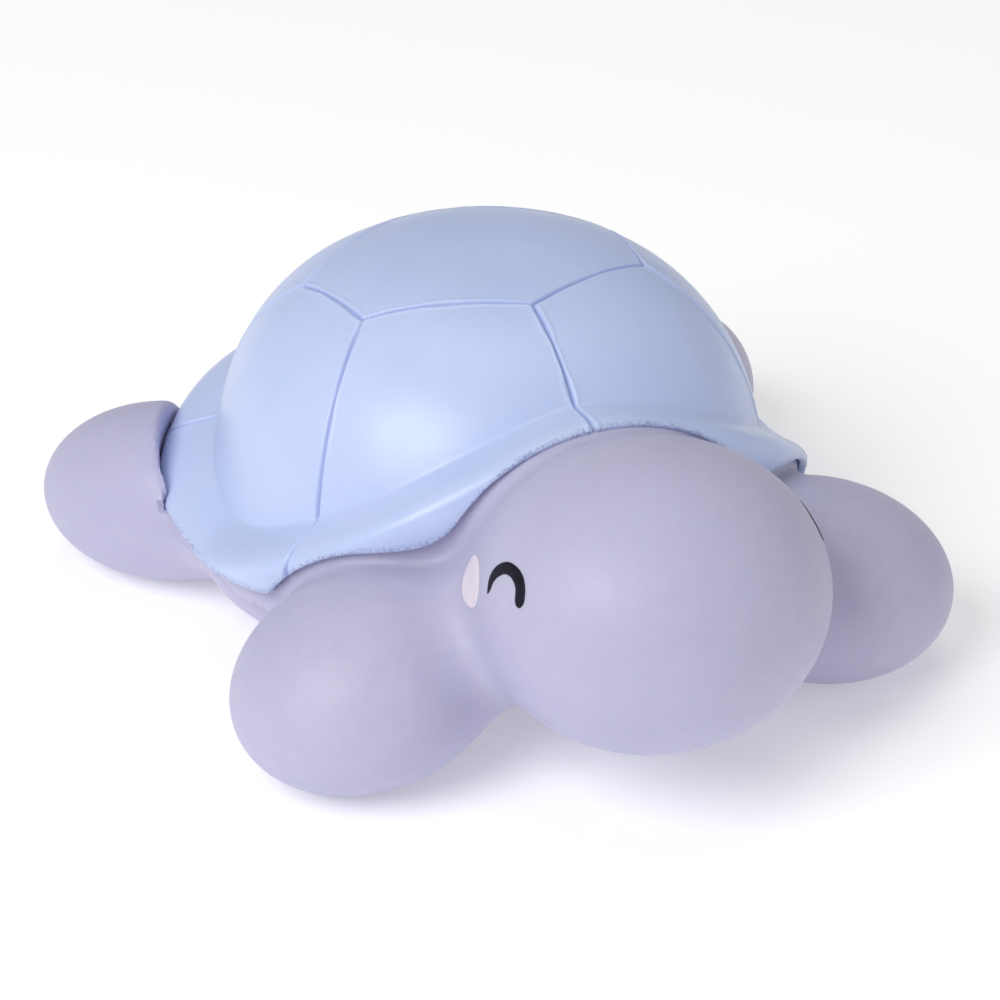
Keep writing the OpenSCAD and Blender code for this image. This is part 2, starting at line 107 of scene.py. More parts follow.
FRONT_AT = np.array([34.6, -37.9, sole_reach(FRONT_HALF, FRONT_TILT[0])])
REAR_AT = np.array([40.6, 26.1, sole_reach(REAR_HALF, REAR_TILT[0])])


# ---- The shell's form ----
def unit(v):
    return v / np.linalg.norm(v, axis=-1, keepdims=True)


def smooth(u):
    t = np.clip(u, 0, 1)
    return t * t * (3 - 2 * t)


def turn_dir(turn):
    return np.stack([np.sin(turn), -np.cos(turn)], -1)


def plan_r(turn):
    return ((np.abs(np.sin(turn)) / HALF_W) ** PLAN_POWER
            + (np.abs(np.cos(turn)) / HALF_L) ** PLAN_POWER) ** (-1 / PLAN_POWER)


def lift_at(z):
    return np.arcsin(np.clip((z - BASE_Z) / RISE, 0, 1) ** (SIDE_POWER / 2))


def section_point(turn, lift, off):
    """A point off the dome along its normal in the upright section: distance outwards and height."""
    out = np.maximum(np.cos(lift), 0) ** (2 / SIDE_POWER)
    up = np.maximum(np.sin(lift), 0) ** (2 / SIDE_POWER)
    r = plan_r(turn)
    n = np.stack([out ** (SIDE_POWER - 1) / r, up ** (SIDE_POWER - 1) / RISE], -1)
    return np.stack([r * out, BASE_Z + RISE * up], -1) + np.asarray(off)[..., None] * unit(n)


def front_share(turn):
    return np.maximum(np.cos(turn), 0) ** CREASE_POWER


def crease_z(turn):
    return (CREASE_SIDE_Z + (CREASE_FRONT_Z - CREASE_SIDE_Z) * front_share(turn)
            + (CREASE_REAR_Z - CREASE_SIDE_Z) * front_share(turn + math.pi))


def flare(turn):
    """How far the rim stands off the dome. It is widest over the rear flippers."""
    beside = np.degrees(np.arccos(np.clip(np.cos(turn), -1, 1)))
    grown, faded = smooth((beside - MORE_FROM) / MORE_GROWS), smooth((beside - MORE_UNTIL) / MORE_FADES)
    return FLARE_SIDE + (FLARE_FRONT - FLARE_SIDE) * front_share(turn) + FLARE_MORE * (grown * (1 - faded))


def rim_off(turn, lift):
    """The wall's way off the dome: none above the crease, then rolled outwards and tucked in at the edge."""
    low = lift_at(crease_z(turn))
    run = np.linalg.norm(section_point(turn, lift, 0.0) - section_point(turn, low, 0.0), axis=-1)
    t = np.minimum(run / RIM_ROLL_L, 1)
    rolled = t * t * (6 - 8 * t + 3 * t * t)
    off = flare(turn) * rolled - np.maximum(run - RIM_TUCK_L, 0) ** 2 / (2 * RIM_TUCK_R)
    return np.where(lift >= low, 0, off)


def in_space(turn, rz):
    d = turn_dir(turn)
    return np.stack([rz[..., 0] * d[..., 0], rz[..., 0] * d[..., 1], rz[..., 1]], -1)


def outer_rz(turn, lift):
    return section_point(turn, lift, rim_off(turn, lift))


def dome_point(v):
    """The point of the dome over a plan point."""
    plan = (np.abs(v[..., 0]) / HALF_W) ** PLAN_POWER + (np.abs(v[..., 1]) / HALF_L) ** PLAN_POWER
    up = np.maximum(1 - plan ** (SIDE_POWER / PLAN_POWER), 0) ** (1 / SIDE_POWER)
    return np.stack([v[..., 0], v[..., 1], BASE_Z + RISE * up], -1)


# ---- The body's form, as a distance ----
def ball_gap(v, half):
    """The distance to a flattened ball, nearly: negative inside it."""
    q = v / half
    far = np.linalg.norm(q, axis=-1)
    return far * (far - 1) / np.maximum(np.linalg.norm(q / half, axis=-1), 1e-6)


def blended(a, b, reach):
    """The union of two distances with a fillet that starts this far from where they meet."""
    return np.minimum(a, b) - np.maximum(reach - np.abs(a - b), 0) ** 2 / (4 * reach)


def untilt(v, tilt):
    """A point in a flipper's own frame, from its droop and its sweep."""
    d, s = (math.radians(t) for t in tilt)
    x = v[..., 0] * math.cos(s) + v[..., 1] * math.sin(s)
    y = -v[..., 0] * math.sin(s) + v[..., 1] * math.cos(s)
    z = v[..., 2]
    return np.stack([x * math.cos(d) - z * math.sin(d), y, x * math.sin(d) + z * math.cos(d)], -1)


def mirrored(p):
    return np.stack([np.abs(p[..., 0]), p[..., 1], p[..., 2]], -1)


def fore_gap(p):
    """Everything but the rear flippers. The rim's edge follows it."""
    m = mirrored(p)
    trunk = ball_gap(p - TRUNK_AT, TRUNK_HALF)
    neck = ball_gap(p - NECK_AT, NECK_HALF)
    head = ball_gap(p - HEAD_AT, HEAD_HALF)
    front = ball_gap(untilt(m - FRONT_AT, FRONT_TILT), FRONT_HALF)
    return blended(blended(blended(trunk, neck, NECK_BLEND), head, NECK_BLEND), front, LIMB_BLEND)


EDGE_HALVINGS = 16


def edge_lift(turns):
    """The lift of the rim's edge: by halving, the lowest at which the wall clears the body and the hem."""
    low, high = np.full(len(turns), lift_at(HEM_Z)), lift_at(crease_z(turns))
    for _ in range(EDGE_HALVINGS):
        half = (low + high) / 2
        p = in_space(turns, outer_rz(turns, half))
        need = NECK_CLEAR + (FLIPPER_CLEAR - NECK_CLEAR) * smooth(np.abs(np.sin(turns / 2)) / CLEAR_SPAN)
        clear = (p[:, 2] > HEM_Z + HEM_FRONT_RISE * np.maximum(np.cos(turns), 0)) & (fore_gap(p) > need)
        high = np.where(clear, half, high)
        low = np.where(clear, low, half)
    return high


# The shell's outline in upright sections from the nose to the tail, and the height of its edge in each
TABLE_TURN_STEP, TABLE_STEP, SECTION_POINTS = 2, 0.25, 400
TABLE_TURNS = np.radians(np.arange(0, 180 + TABLE_TURN_STEP, TABLE_TURN_STEP))
TABLE_Z = np.arange(12, 54, TABLE_STEP)


def outline_table():
    lifts = np.linspace(lift_at(HEM_Z), math.pi / 2, SECTION_POINTS)
    table = np.zeros((len(TABLE_TURNS), len(TABLE_Z)))
    for i, turn in enumerate(TABLE_TURNS):
        rz = outer_rz(np.full(len(lifts), turn), lifts)
        order = np.argsort(rz[:, 1])
        table[i] = np.interp(TABLE_Z, rz[order, 1], rz[order, 0])
    return table


RIM_TABLE = outline_table()
SLOPE_TABLE = np.gradient(RIM_TABLE, TABLE_STEP, axis=1)
EDGE_TABLE = in_space(TABLE_TURNS, outer_rz(TABLE_TURNS, edge_lift(TABLE_TURNS)))[:, 2]
WIDEST_TABLE = RIM_TABLE.max(axis=1)
WIDEST_Z_TABLE = TABLE_Z[RIM_TABLE.argmax(axis=1)]


def from_table(table, turn, z):
    """A value between a table's rows, by shares of its four neighbours."""
    i = np.clip(turn / math.radians(TABLE_TURN_STEP), 0, len(TABLE_TURNS) - 1.001)
    k = np.clip((z - TABLE_Z[0]) / TABLE_STEP, 0, len(TABLE_Z) - 1.001)
    i0, k0 = i.astype(int), k.astype(int)
    u, v = i - i0, k - k0
    return ((1 - u) * (1 - v) * table[i0, k0] + u * (1 - v) * table[i0 + 1, k0]
            + (1 - u) * v * table[i0, k0 + 1] + u * v * table[i0 + 1, k0 + 1])


def body_gap(p):
    """The whole body. It fills the rim from inside, and its rear flippers are cut back round the rim."""
    m = mirrored(p)
    turn = np.arctan2(m[..., 0], -m[..., 1])
    r = np.hypot(m[..., 0], m[..., 1])
    z = m[..., 2]
    wall_r = from_table(RIM_TABLE, turn, z)
    wall_gap = (r - wall_r) / np.hypot(1, from_table(SLOPE_TABLE, turn, z))
    edge_z = np.interp(turn, TABLE_TURNS, EDGE_TABLE)
    low = edge_z - BED_LOW * (1 - smooth((turn - BED_LOW_FROM) / BED_LOW_FADES))
    top = edge_z + BED_TOP + (BED_TOP_SIDE - BED_TOP) * smooth((turn - BED_TOP_FROM) / BED_TOP_GROWS)
    inset = BED_INSET_LOW + (BED_INSET - BED_INSET_LOW) * smooth((z - edge_z) / BED_INSET_RISE)
    bed = np.maximum(wall_gap + inset, np.maximum(z - top, low - z))
    bed = np.maximum(bed, wall_r - BED_WIDTH - r)
    rear = ball_gap(untilt(m - REAR_AT, REAR_TILT), REAR_HALF)
    above = np.maximum(z - np.interp(turn, TABLE_TURNS, WIDEST_Z_TABLE), 0)
    rim_side = np.interp(turn, TABLE_TURNS, WIDEST_TABLE) - CUT_LEAN * above + RIM_CLEAR
    round_rim = np.maximum(r - np.maximum(rim_side, wall_r + RIM_CLEAR), HEM_Z - RIM_CLEAR - z)
    cut_round = CUT_ROUND_LOW + (CUT_ROUND - CUT_ROUND_LOW) * smooth((z - HEM_Z) / CUT_ROUND_RISE)
    rear = -blended(-rear, round_rim, cut_round)
    reach = LIMB_BLEND - (LIMB_BLEND - SEAM_BLEND) * smooth((z - HEM_Z + SEAM_BELOW) / SEAM_RISE)
    return blended(blended(fore_gap(p), bed, BED_BLEND), rear, reach)


# ---- Mesh helpers ----
def make_mesh(name, points, faces):
    """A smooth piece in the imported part's frame, from points in millimetres round the dome's middle."""
    mesh = bpy.data.meshes.new(name)
    placed = (np.asarray(points, float) + [0, MID_Y, 0]) * MM
    mesh.from_pydata(placed.tolist(), [], [list(f) for f in faces])
    mesh.polygons.foreach_set("use_smooth", [True] * len(mesh.polygons))
    mesh.update()
    obj = bpy.data.objects.new(name, mesh)
    bpy.context.scene.collection.objects.link(obj)
    return obj


def point_value(obj, name, values):
    """A named number at each point, which a material reads."""
    attribute = obj.data.attributes.new(name, "FLOAT", "POINT")
    attribute.data.foreach_set("value", np.asarray(values, np.float32))


def gradient(field, p, h=0.02):
    g = np.zeros_like(p)
    for axis in range(3):
        step = np.zeros(3)
        step[axis] = h
        g[:, axis] = (field(p + step) - field(p - step)) / (2 * h)
    return g


LEAST_SLOPE = 0.05


def onto(field, p, rounds):
    """Points moved onto the surface where a field is zero, by Newton's steps."""
    for _ in range(rounds):
        g = gradient(field, p)
        p = p - field(p)[:, None] * g / np.maximum((g * g).sum(1), LEAST_SLOPE)[:, None]
    return p


def without_slits(value, rounds=3, speck=0.05):
    """Samples of a field, with each gap or sliver that is one sample wide filled or cleared."""
    for wanted in (-1, 1):
        for axis in list(range(3)) * rounds:
            v = np.moveaxis(value, axis, 0)
            lone = (v[1:-1] * wanted < 0) & (v[:-2] * wanted > 0) & (v[2:] * wanted > 0)
            v[1:-1][lone] = speck * wanted
    return value


def surface_net(field, low, high, step):
    """A net of quads round the space where a field is negative."""
    axes = [np.arange(low[i], high[i] + step, step) for i in range(3)]
    grid = np.stack(np.meshgrid(*axes, indexing="ij"), -1)
    value = without_slits(field(grid.reshape(-1, 3)).reshape(grid.shape[:3]))
    inside = value < 0
    n = inside.shape

    def corner(a, c):
        return a[c[0]:n[0] - 1 + c[0], c[1]:n[1] - 1 + c[1], c[2]:n[2] - 1 + c[2]]

    corners = [(i, j, k) for i in (0, 1) for j in (0, 1) for k in (0, 1)]
    count = sum(corner(inside, c).astype(int) for c in corners)
    mixed = (count > 0) & (count < 8)
    index = np.full(mixed.shape, -1)
    index[mixed] = np.arange(mixed.sum())
    cells = np.argwhere(mixed)
    total = np.zeros((len(cells), 3))
    hits = np.zeros(len(cells))
    for c in corners:
        for axis in range(3):
            if c[axis]:
                continue
            d = tuple(1 if i == axis else c[i] for i in range(3))
            f0, f1 = corner(value, c)[mixed], corner(value, d)[mixed]
            hit = (f0 < 0) != (f1 < 0)
            p = np.tile(np.array(c, float), (len(cells), 1))
            p[:, axis] += np.where(hit, f0 / np.where(hit, f0 - f1, 1), 0)
            total[hit] += p[hit]
            hits[hit] += 1
    points = np.array([a[0] for a in axes]) + step * (cells + total / hits[:, None])
    quads = []
    for axis in range(3):
        u, v = (axis + 1) % 3, (axis + 2) % 3
        first = np.take(inside, range(n[axis] - 1), axis)
        second = np.take(inside, range(1, n[axis]), axis)
        at = np.argwhere(first != second)
        outward = first[tuple(at.T)]
        around = []
        for du, dv in ((-1, -1), (0, -1), (0, 0), (-1, 0)):
            cell = at.copy()
            cell[:, u] += du
            cell[:, v] += dv
            around.append(index[tuple(cell.T)])
        q = np.stack(around, 1)
        q[~outward] = q[~outward][:, ::-1]
        quads.append(q)
    return points, np.vstack(quads)


def largest_part(points, quads):
    """The net's largest connected part, without the specks that a thin sliver of the form leaves."""
    label = np.arange(len(points))
    while True:
        lower = label.copy()
        np.minimum.at(lower, quads, label[quads].min(1)[:, None])
        lower = lower[lower]
        if (lower == label).all():
            break
        label = lower
    names, count = np.unique(label[quads[:, 0]], return_counts=True)
    kept = quads[label[quads[:, 0]] == names[count.argmax()]]
    used, places = np.unique(kept, return_inverse=True)
    return points[used], places.reshape(kept.shape)


def relaxed(points, quads, share):
    """Points moved this share of the way to the mean of their neighbours."""
    pairs = np.vstack([quads[:, [i, (i + 1) % 4]] for i in range(4)])
    n = len(points)
    weight = np.bincount(pairs[:, 0], minlength=n) + np.bincount(pairs[:, 1], minlength=n)
    mean = np.stack([np.bincount(pairs[:, 0], points[pairs[:, 1], i], n)
                     + np.bincount(pairs[:, 1], points[pairs[:, 0], i], n) for i in range(3)], 1)
    return points * (1 - share) + share * mean / weight[:, None]


def boolean(obj, cutter, operation):
    modifier = obj.modifiers.new("cut", "BOOLEAN")
    modifier.object = cutter
    modifier.operation = operation
    modifier.solver = "EXACT"
    shape = bpy.data.meshes.new_from_object(obj.evaluated_get(bpy.context.evaluated_depsgraph_get()))
    obj.modifiers.clear()
    obj.data = shape
    bpy.data.objects.remove(cutter)


def lathe(name, profile, segments=96):
    """A closed form turned round Z at the dome's middle, from its outline of distance outwards and height."""
    angle = np.linspace(0, 2 * math.pi, segments, endpoint=False)
    n = len(profile)
    points = [[r * math.cos(a), r * math.sin(a), z] for a in angle for r, z in profile]
    faces = []
    for s in range(segments):
        t = (s + 1) % segments
        faces += [[s * n + k, t * n + k, t * n + k + 1, s * n + k + 1] for k in range(n - 1)]
    first, last = len(points), len(points) + 1
    points += [[0, 0, profile[0][1]], [0, 0, profile[-1][1]]]
    for s in range(segments):
        t = (s + 1) % segments
        faces += [[first, t * n, s * n], [last, s * n + n - 1, t * n + n - 1]]
    return make_mesh(name, points, faces)


# ---- Body ----
BODY_LOW, BODY_HIGH, BODY_STEP = (-63.2, -82, -3), (63.2, 48, 54), 0.8
RELAX_ROUNDS, RELAX_SHARE = 3, 0.6
body_points, body_quads = largest_part(*surface_net(body_gap, BODY_LOW, BODY_HIGH, BODY_STEP))
for _ in range(RELAX_ROUNDS):
    body_points = relaxed(body_points, body_quads, RELAX_SHARE)
    body_points = onto(body_gap, body_points, 2)
body_points = onto(body_gap, body_points, 2)
body_points[:, 2] = np.maximum(body_points[:, 2], 0)
body = make_mesh("body_skin", body_points, body_quads)
# The low boss round the squeaker, and the bore that its flange sits in, both with rounded corners
SEAT_Z, SEAT_R, SEAT_TOP = 0.9, 12.0, 4.5
BORE_R, BORE_LOW, BORE_TOP = 9.05, -2, 2.55
CORNER, CORNER_MID = 0.25, 0.07
SHARP_FROM = math.radians(40)
boss = lathe("boss", [[SEAT_R - CORNER, SEAT_Z], [SEAT_R - CORNER_MID, SEAT_Z + CORNER_MID],
                      [SEAT_R, SEAT_Z + CORNER], [SEAT_R, SEAT_TOP]])
boolean(body, boss, "UNION")
bore = lathe("bore", [[BORE_R + CORNER, BORE_LOW], [BORE_R + CORNER, SEAT_Z],
                      [BORE_R + CORNER_MID, SEAT_Z + CORNER_MID],
                      [BORE_R, SEAT_Z + CORNER], [BORE_R, BORE_TOP]])
boolean(body, bore, "DIFFERENCE")
body.data.polygons.foreach_set("use_smooth", [True] * len(body.data.polygons))
body.data.set_sharp_from_angle(angle=SHARP_FROM)

# ---- Shell ----
# The middle scute's corners in plan, and the turn at which the groove from each corner crosses the rim
SCUTE = np.array([[0, -15.7], [21.9, -6], [24, 11.7], [0, 26], [-24, 11.7], [-21.9, -6]], float)
SCUTE_MIDDLE = np.array([0, 5.15])
RIM_TURNS = np.radians([-1.5, 61, 125, 180, 235, 299, 358.5])
# A groove's depth, its half width on the scutes' edges and on the rim, and the raised lip beside it
GROOVE_D = 0.6
SCUTE_GROOVE, FLANK_GROOVE, RIM_GROOVE, RIM_GROOVE_GROWS = 0.40, 0.39, 0.36, 0.16
LIP_H, LIP_AT, LIP_W = 0.11, 1.5, 0.45
GROOVE_POINTS = 500
# Distances of mesh lines from a groove's middle, and how many lie between two grooves
NEAR = [0, 0.12, 0.24, 0.38, 0.54, 0.72, 0.92, 1.15, 1.45, 1.85, 2.4]
MIDDLES = [58, 46, 40, 40, 46, 58]
SCUTE_ROWS, SLOPE_ROWS, RIM_ROWS = 26, 60, 44
# Rows inside the wall, which thickens over the first share of its way up from the edge
INNER_RIM_ROWS, INNER_DOME_ROWS, THICKENS = 16, 18, 0.3


def crease_plan(turn):
    p = in_space(turn, outer_rz(turn, lift_at(crease_z(turn))))
    return p[..., :2]


def shares(span, near, count):
    """Places from 0 to 1 along a span: close together at both ends, by distances, and even between."""
    near = np.array(near) / span
    between = np.linspace(near[-1], 1 - near[-1], count)[1:-1]
    return np.concatenate([near, between, 1 - near[::-1]])[:-1]


ring, turns = [], []
for s in range(6):
    a, b = SCUTE[s], SCUTE[(s + 1) % 6]
    ta, tb = RIM_TURNS[s], RIM_TURNS[s + 1]
    length = np.linalg.norm(b - a)
    reach = np.linalg.norm(crease_plan(np.array(tb)) - crease_plan(np.array(ta)))
    f = shares(length, NEAR, MIDDLES[s])
    g = shares(reach, NEAR, MIDDLES[s])
    ring.append(a + (b - a) * f[:, None])
    turns.append(ta + (tb - ta) * g)
ring, turns = np.vstack(ring), np.concatenate(turns)
N = len(turns)
creases = crease_plan(turns)
crease_lifts = lift_at(crease_z(turns))
edge_lifts = edge_lift(turns)

# Rows of plan points from the middle scute's middle to its edge and on to the crease, then rows down the rim
rows = []
inner_len = np.linalg.norm(ring - SCUTE_MIDDLE, axis=1)
near_in = np.array(NEAR[1:])[::-1]
for share in np.linspace(0.06, 1, SCUTE_ROWS):
    rows.append(SCUTE_MIDDLE + (ring - SCUTE_MIDDLE) * (share * (1 - near_in[0] / inner_len))[:, None])
for d in near_in[1:]:
    rows.append(ring + (SCUTE_MIDDLE - ring) * (d / inner_len)[:, None])
rows.append(ring.copy())
slope_len = np.linalg.norm(creases - ring, axis=1)
for d in NEAR[1:]:
    rows.append(ring + (creases - ring) * (d / slope_len)[:, None])
start = NEAR[-1] / slope_len
for share in np.linspace(0, 1, SLOPE_ROWS)[1:]:
    rows.append(ring + (creases - ring) * (start + (1 - start) * share ** 0.85)[:, None])
grid_rows = [dome_point(r) for r in rows]
FLAT_ROWS = len(grid_rows)
rim_lifts = np.linspace(0, 1, RIM_ROWS + 1)[1:]
for share in rim_lifts:
    lift = crease_lifts + (edge_lifts - crease_lifts) * share
    grid_rows.append(in_space(turns, outer_rz(turns, lift)))
outer = np.stack(grid_rows)


def grid_normals(g):
    along = np.roll(g, -1, 1) - np.roll(g, 1, 1)
    down = np.gradient(g, axis=0)
    n = np.cross(down, along)
    return n / np.maximum(np.linalg.norm(n, axis=-1, keepdims=True), 1e-9)


# Groove lines on the shell, each with its own share of width and depth along it
line_points, line_width, line_depth = [], [], []


def groove_line(p, width, depth):
    line_points.append(p)
    line_width.append(np.broadcast_to(width, len(p)).astype(float))
    line_depth.append(np.broadcast_to(depth, len(p)).astype(float))


# Round the middle scute, out from its corners and down the rim. A groove wavers a little in width.
for s in range(6):
    a, b = SCUTE[s], SCUTE[(s + 1) % 6]
    t = np.linspace(0, 1, GROOVE_POINTS)
    wave = 1 + 0.22 * np.sin(7 * t + 2.1 * s) + 0.12 * np.sin(19 * t + s)
    groove_line(dome_point(a + (b - a) * t[:, None]), SCUTE_GROOVE * wave, 0.9 + 0.1 * np.sin(9 * t + s))
    turn = RIM_TURNS[s]
    end = crease_plan(np.array(turn))
    fade = 0.35 + 0.65 * smooth((t * np.linalg.norm(end - a) - 1.5) / 3.0)
    wave = 1 + 0.25 * np.sin(8 * t + 1.3 * s) + 0.12 * np.sin(23 * t + 2 * s)
    groove_line(dome_point(a + (end - a) * t[:, None]), FLANK_GROOVE * wave, fade if s in (1, 5) else 1.0)
    column = int(np.argmin(np.abs(turns - turn)))
    lift = crease_lifts[column] + (edge_lifts[column] - crease_lifts[column]) * t
    same_turn = np.full(GROOVE_POINTS, turn)
    groove_line(in_space(same_turn, outer_rz(same_turn, lift)), RIM_GROOVE + RIM_GROOVE_GROWS * t, 0.8)
line_points, line_width, line_depth = (np.concatenate(v) for v in (line_points, line_width, line_depth))
tree = KDTree(len(line_points))
for i, p in enumerate(line_points.tolist()):
    tree.insert(p, i)
tree.balance()
flat = outer.reshape(-1, 3)
distance = np.zeros(len(flat))
nearest = np.zeros(len(flat), int)
for i, p in enumerate(flat.tolist()):
    _, nearest[i], distance[i] = tree.find(p)
width = line_width[nearest]
t = distance / width
dip = GROOVE_D * line_depth[nearest] * (1 - smooth(t)) ** 1.2
lip = LIP_H * np.exp(-((t - LIP_AT) / LIP_W) ** 2)
normals = grid_normals(outer).reshape(-1, 3)
shell_outer = (flat + normals * (lip - dip)[:, None]).reshape(outer.shape)

# The rim's edge is rounded over, and the wall's inside runs back up
edge_outer = shell_outer[-1]
edge_normal = grid_normals(outer)[-1]
down = unit(outer[-1] - outer[-3])
round_rows = []
for a in np.radians([25, 50, 75, 90, 105, 130, 155]):
    inward = (1 - math.cos(a)) / 2
    round_rows.append(edge_outer - edge_normal * EDGE_WALL * inward + down * EDGE_ROUND * math.sin(a))
inner_rows = []
for share in np.linspace(0, 1, INNER_RIM_ROWS):
    lift = edge_lifts + (crease_lifts - edge_lifts) * share
    wall = EDGE_WALL + (SHELL_WALL - EDGE_WALL) * smooth(share / THICKENS)
    inner_rows.append(in_space(turns, section_point(turns, lift, rim_off(turns, lift) - wall)))
for share in np.linspace(0, 1, INNER_DOME_ROWS)[1:-1]:
    lift = crease_lifts + (math.pi / 2 - crease_lifts) * share
    inner_rows.append(in_space(turns, section_point(turns, lift, np.full(N, -SHELL_WALL))))
all_rows = np.concatenate([shell_outer, np.stack(round_rows), np.stack(inner_rows)])
R = len(all_rows)
points = all_rows.reshape(-1, 3)
top_outer = dome_point(SCUTE_MIDDLE[None, :])[0]
top_inner = np.array([0, 0, BASE_Z + RISE - SHELL_WALL])
points = np.vstack([points, top_outer, top_inner])
faces = []
for r in range(R - 1):
    a = r * N + np.arange(N)
    b = r * N + (np.arange(N) + 1) % N
    faces += np.stack([a, a + N, b + N, b], 1).tolist()
crown, roof = R * N, R * N + 1
faces += [[crown, j, (j + 1) % N] for j in range(N)]
faces += [[roof, (R - 1) * N + (j + 1) % N, (R - 1) * N + j] for j in range(N)]
shell = make_mesh("shell_skin", points, faces)
# Shares for the shell's material: in a groove, where its colour is darkened as painted shade, and at the worn
# edge
groove_shade_share = np.zeros(len(points))
groove_shade_share[:len(flat)] = 1 - smooth(distance / (width * 1.1))
point_value(shell, "groove", groove_shade_share)
WORN_FROM = 0.86
edge_share = np.zeros(len(points))
rim_row = np.concatenate([np.zeros(FLAT_ROWS), rim_lifts])
edge_share[:len(flat)] = np.repeat(smooth((rim_row - WORN_FROM) / (1 - WORN_FROM)), N)
edge_share[len(flat):len(flat) + len(round_rows) * N] = 1
point_value(shell, "edge", edge_share)


# ---- Printed eyes and cheeks ----
# A print's top starts this far over the skin, its underside lies this far in it, and its border is rounded
INK_OVER, INK_UNDER, INK_POWER = 0.02, 0.05, 6
EYE_THICK, EYE_POINTS, EYE_COLUMNS, EYE_END = 0.1, 60, 13, 7.0
CHEEK_THICK, CHEEK_RINGS, CHEEK_AROUND = 0.07, 9, 72


def head_point(turn, lift):
    """The point of the skin in a direction from the head's middle."""
    out = np.stack([np.sin(turn) * np.cos(lift), -np.cos(turn) * np.cos(lift), np.sin(lift)], -1)
    p = HEAD_AT + out * HEAD_HALF
    return onto(body_gap, p, 4)


def curve_through(knots, count):
    """A smooth curve through knots of any width, by Catmull-Rom."""
    k = np.vstack([2 * knots[0] - knots[1], knots, 2 * knots[-1] - knots[-2]])
    out = []
    for u in np.linspace(0, len(knots) - 1.0001, count):
        i = int(u)
        t = u - i
        p0, p1, p2, p3 = k[i], k[i + 1], k[i + 2], k[i + 3]
        out.append(0.5 * ((2 * p1) + (p2 - p0) * t + (2 * p0 - 5 * p1 + 4 * p2 - p3) * t * t
                          + (3 * p1 - p0 - 3 * p2 + p3) * t ** 3))
    return np.array(out)


def ink_points(p, rise, side):
    """A print's points, top then underside, from points of the skin and the print's height over them."""
    g = unit(gradient(body_gap, p))
    points = np.vstack([p + g * (INK_OVER + rise)[:, None], p - g * INK_UNDER])
    points[:, 0] *= side
    return points


def ink_mesh(name, points, faces, side):
    return make_mesh(name, points, [f[::-1] for f in faces] if side < 0 else faces)


def ink_patch(name, side, centre, half_width):
    """A raised print over the skin: a centre line of turn and lift in degrees, and half widths in mm."""
    n, m = len(centre), EYE_COLUMNS
    line = head_point(np.radians(centre[:, 0]), np.radians(centre[:, 1]))
    across = np.cross(unit(gradient(body_gap, line)), unit(np.gradient(line, axis=0)))
    k = np.linspace(-1, 1, m)
    p = line[:, None] + across[:, None] * (half_width[:, None] * k)[..., None]
    rise = np.tile(EYE_THICK * (1 - np.abs(k) ** INK_POWER), (n, 1))
    rise[[0, -1]] = 0
    points = ink_points(onto(body_gap, p.reshape(-1, 3), 3), rise.ravel(), side)
    faces = []
    for i in range(n - 1):
        for j in range(m - 1):
            a = i * m + j
            faces.append([a, a + 1, a + m + 1, a + m])
    under = n * m
    border = (list(range(m - 1)) + [i * m + m - 1 for i in range(n - 1)]
              + [(n - 1) * m + j for j in range(m - 1, 0, -1)] + [i * m for i in range(n - 1, 0, -1)])
    faces += [[v + under for v in f[::-1]] for f in faces]
    for q, r in zip(border, border[1:] + border[:1]):
        faces.append([r, q, q + under, r + under])
    return ink_mesh(name, points, faces, side)


def ink_oval(name, side, middle, half):
    """A raised oval print over the skin: its middle and half sizes as turn and lift in degrees."""
    rings, around = CHEEK_RINGS, CHEEK_AROUND
    share = np.sin(np.linspace(0, math.pi / 2, rings + 1))[1:]
    a = np.linspace(0, 2 * math.pi, around, endpoint=False)
    turn = middle[0] - half[0] * share[:, None] * np.cos(a)
    lift = middle[1] + half[1] * share[:, None] * np.sin(a)
    turn = np.append(turn.ravel(), middle[0])
    lift = np.append(lift.ravel(), middle[1])
    p = head_point(np.radians(turn), np.radians(lift))
    rise = CHEEK_THICK * (1 - np.append(np.repeat(share, around), 0) ** INK_POWER)
    points = ink_points(p, rise, side)
    n = len(p)
    faces = [[n - 1, j, (j + 1) % around] for j in range(around)]
    for i in range(rings - 1):
        for j in range(around):
            k = (j + 1) % around
            faces.append([i * around + j, (i + 1) * around + j, (i + 1) * around + k, i * around + k])
    faces += [[v + n for v in f[::-1]] for f in faces]
    last = (rings - 1) * around
    for j in range(around):
        k = (j + 1) % around
        faces.append([last + k, last + j, last + j + n, last + k + n])
    return ink_mesh(name, points, faces, side)


# The eye's line: turn and lift in degrees, and half width in millimetres
EYE_LINE = np.array([[92.2, 13.9, 0.10], [92.4, 16.2, 0.46], [93.0, 19.8, 0.78], [91.5, 23.6, 0.90],
                     [87.8, 26.7, 0.86], [83.1, 27.5, 0.84], [78.9, 26.4, 0.90], [76.1, 23.9, 0.91],
                     [74.8, 20.9, 0.93], [73.9, 17.5, 0.95]])
CHEEK_MIDDLE, CHEEK_HALF = (110.6, 7.9), (10.9, 8.6)
pieces = {}
for side, word in ((1, "left"), (-1, "right")):
    line = curve_through(EYE_LINE, EYE_POINTS)
    # The thick end is rounded off over its last millimetre
    tail = np.arange(EYE_POINTS)[::-1] / EYE_END
    w = line[:, 2] * np.sqrt(1 - np.clip(1 - tail, 0, 1) ** 2 * 0.97)
    pieces["eye_" + word] = ink_patch("eye_print_" + word, side, line[:, :2], w)
    pieces["cheek_" + word] = ink_oval("cheek_print_" + word, side, CHEEK_MIDDLE, CHEEK_HALF)


